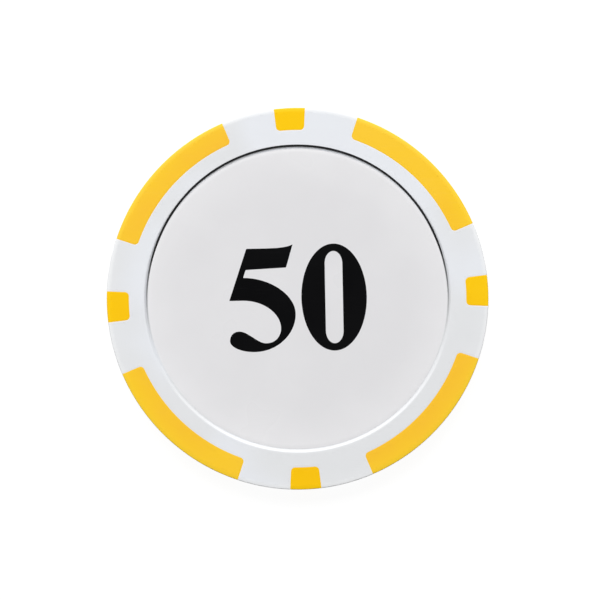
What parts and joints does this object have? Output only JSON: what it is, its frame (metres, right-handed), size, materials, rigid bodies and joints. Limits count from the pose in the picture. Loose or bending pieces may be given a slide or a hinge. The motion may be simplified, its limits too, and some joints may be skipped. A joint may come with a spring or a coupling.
{
  "type": "golf ball marker",
  "caption": "Poker-chip style golf ball marker: a flat white moulded disc with yellow edge spots, a hidden steel slug and a numbered label recessed in each face.",
  "frame": {"origin": "centre of the rear rim's plane, where the disc rests when it lies face up", "axes": "+Z out of the front face, along the disc's axis; +Y up as the front number is read; +X to its right"},
  "size_m": [0.04, 0.04, 0.0033],
  "materials": {
    "white_plastic": "satin",
    "yellow_plastic": "satin",
    "slug_steel": "satin",
    "label_film": "satin",
    "label_ink": "satin",
    "label_laminate": "gloss",
    "label_adhesive": "gloss"
  },
  "bodies": {
    "root": {"body": "white_plastic", "long_spot_1": "yellow_plastic", "long_spot_2": "yellow_plastic", "long_spot_3": "yellow_plastic", "long_spot_4": "yellow_plastic", "short_spot_1": "yellow_plastic", "short_spot_2": "yellow_plastic", "short_spot_3": "yellow_plastic", "short_spot_4": "yellow_plastic", "slug": "slug_steel", "front_label_adhesive": "label_adhesive", "front_label_film": "label_film", "front_numeral_5": "label_ink", "front_numeral_0": "label_ink", "front_label_laminate": "label_laminate", "rear_label_adhesive": "label_adhesive", "rear_label_film": "label_film", "rear_numeral_5": "label_ink", "rear_numeral_0": "label_ink", "rear_label_laminate": "label_laminate"}
  },
  "joints": []
}
